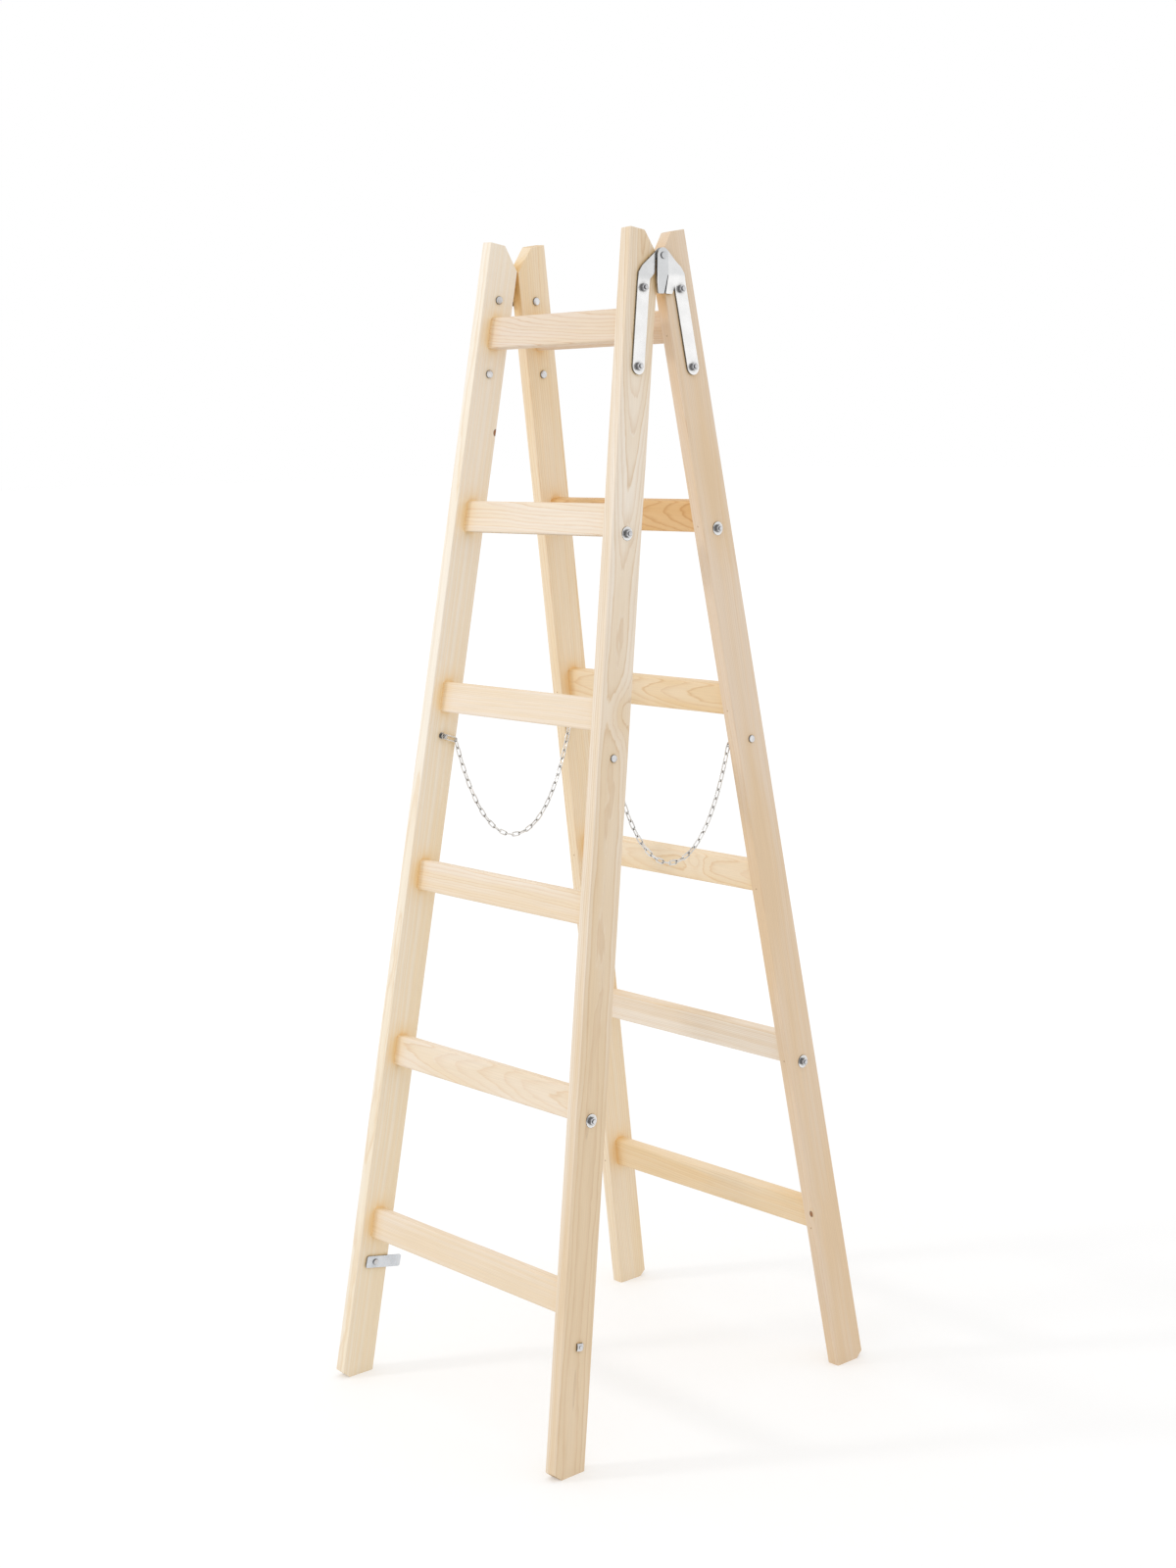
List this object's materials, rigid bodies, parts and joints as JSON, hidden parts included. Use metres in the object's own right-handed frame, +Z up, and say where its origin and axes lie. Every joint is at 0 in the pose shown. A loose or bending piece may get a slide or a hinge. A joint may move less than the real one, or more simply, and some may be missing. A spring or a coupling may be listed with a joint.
{
  "type": "wooden ladder",
  "caption": "Free-standing double-sided wooden ladder of tapered pine frames hinged at the top by steel straps, with tie rods under the rungs, slack safety chains and swivel latches",
  "frame": {"origin": "on the floor, under the middle of the four feet of the opened ladder", "axes": "+Z up, +X along the rungs and hinge pins, -Y towards the front ladder and +Y towards the rear ladder"},
  "size_m": [0.5314, 0.6564, 1.7675],
  "materials": {
    "stile_pine": "bare planed pine, straight grain, matt",
    "rung_pine": "bare planed pine with rounded edges, matt",
    "hinge_zinc": "bright zinc-plated pressed steel strip",
    "zinc_steel": "zinc-plated steel fasteners and rods",
    "chain_steel": "zinc-plated round-wire chain",
    "nail_steel": "dull steel nails, slightly stained"
  },
  "bodies": {
    "front_ladder": {"front_stile_left": "stile_pine", "front_stile_right": "stile_pine", "front_rung_1": "rung_pine", "front_rung_2": "rung_pine", "front_rung_3": "rung_pine", "front_rung_4": "rung_pine", "front_rung_5": "rung_pine", "front_rung_6": "rung_pine", "front_rung_nails": "nail_steel", "front_tie_rod_upper": "zinc_steel", "front_tie_rod_lower": "zinc_steel", "front_tie_washers": "zinc_steel", "front_tie_nuts": "zinc_steel", "front_hinge_arm_left": "hinge_zinc", "front_hinge_arm_right": "hinge_zinc", "front_hinge_bolts": "zinc_steel", "front_hinge_nuts": "zinc_steel", "front_chain_bolts": "zinc_steel", "front_chain_washers": "zinc_steel", "front_chain_nuts": "zinc_steel", "hinge_pin_left": "zinc_steel", "chain_left": "chain_steel", "hinge_pin_right": "zinc_steel", "chain_right": "chain_steel", "latch_bolts": "zinc_steel", "latch_washers": "zinc_steel", "latch_nuts": "zinc_steel"},
    "rear_ladder": {"rear_stile_left": "stile_pine", "rear_stile_right": "stile_pine", "rear_rung_1": "rung_pine", "rear_rung_2": "rung_pine", "rear_rung_3": "rung_pine", "rear_rung_4": "rung_pine", "rear_rung_5": "rung_pine", "rear_rung_6": "rung_pine", "rear_rung_nails": "nail_steel", "rear_tie_rod_upper": "zinc_steel", "rear_tie_rod_lower": "zinc_steel", "rear_tie_washers": "zinc_steel", "rear_tie_nuts": "zinc_steel", "rear_hinge_arm_left": "hinge_zinc", "rear_hinge_arm_right": "hinge_zinc", "rear_hinge_bolts": "zinc_steel", "rear_hinge_nuts": "zinc_steel", "rear_chain_bolts": "zinc_steel", "rear_chain_washers": "zinc_steel", "rear_chain_nuts": "zinc_steel"},
    "latch_left": {"latch_left": "hinge_zinc"},
    "latch_right": {"latch_right": "hinge_zinc"}
  },
  "joints": [
    {"name": "fold", "type": "hinge", "parent": "front_ladder", "child": "rear_ladder", "pos_m": [0, 0, 1.728], "axis": [1, 0, 0], "range_deg": [-17.8, 0], "deforming": ["chain_left", "chain_right"]},
    {"name": "latch_left_turn", "type": "hinge", "parent": "front_ladder", "child": "latch_left", "pos_m": [-0.25511, -0.26861, 0.18397], "axis": [0.9984, -0.0086, -0.0551], "range_deg": [-230, 65]},
    {"name": "latch_right_turn", "type": "hinge", "parent": "front_ladder", "child": "latch_right", "pos_m": [0.25511, -0.26861, 0.18397], "axis": [0.9984, 0.0086, 0.0551], "range_deg": [-142, 152]}
  ]
}
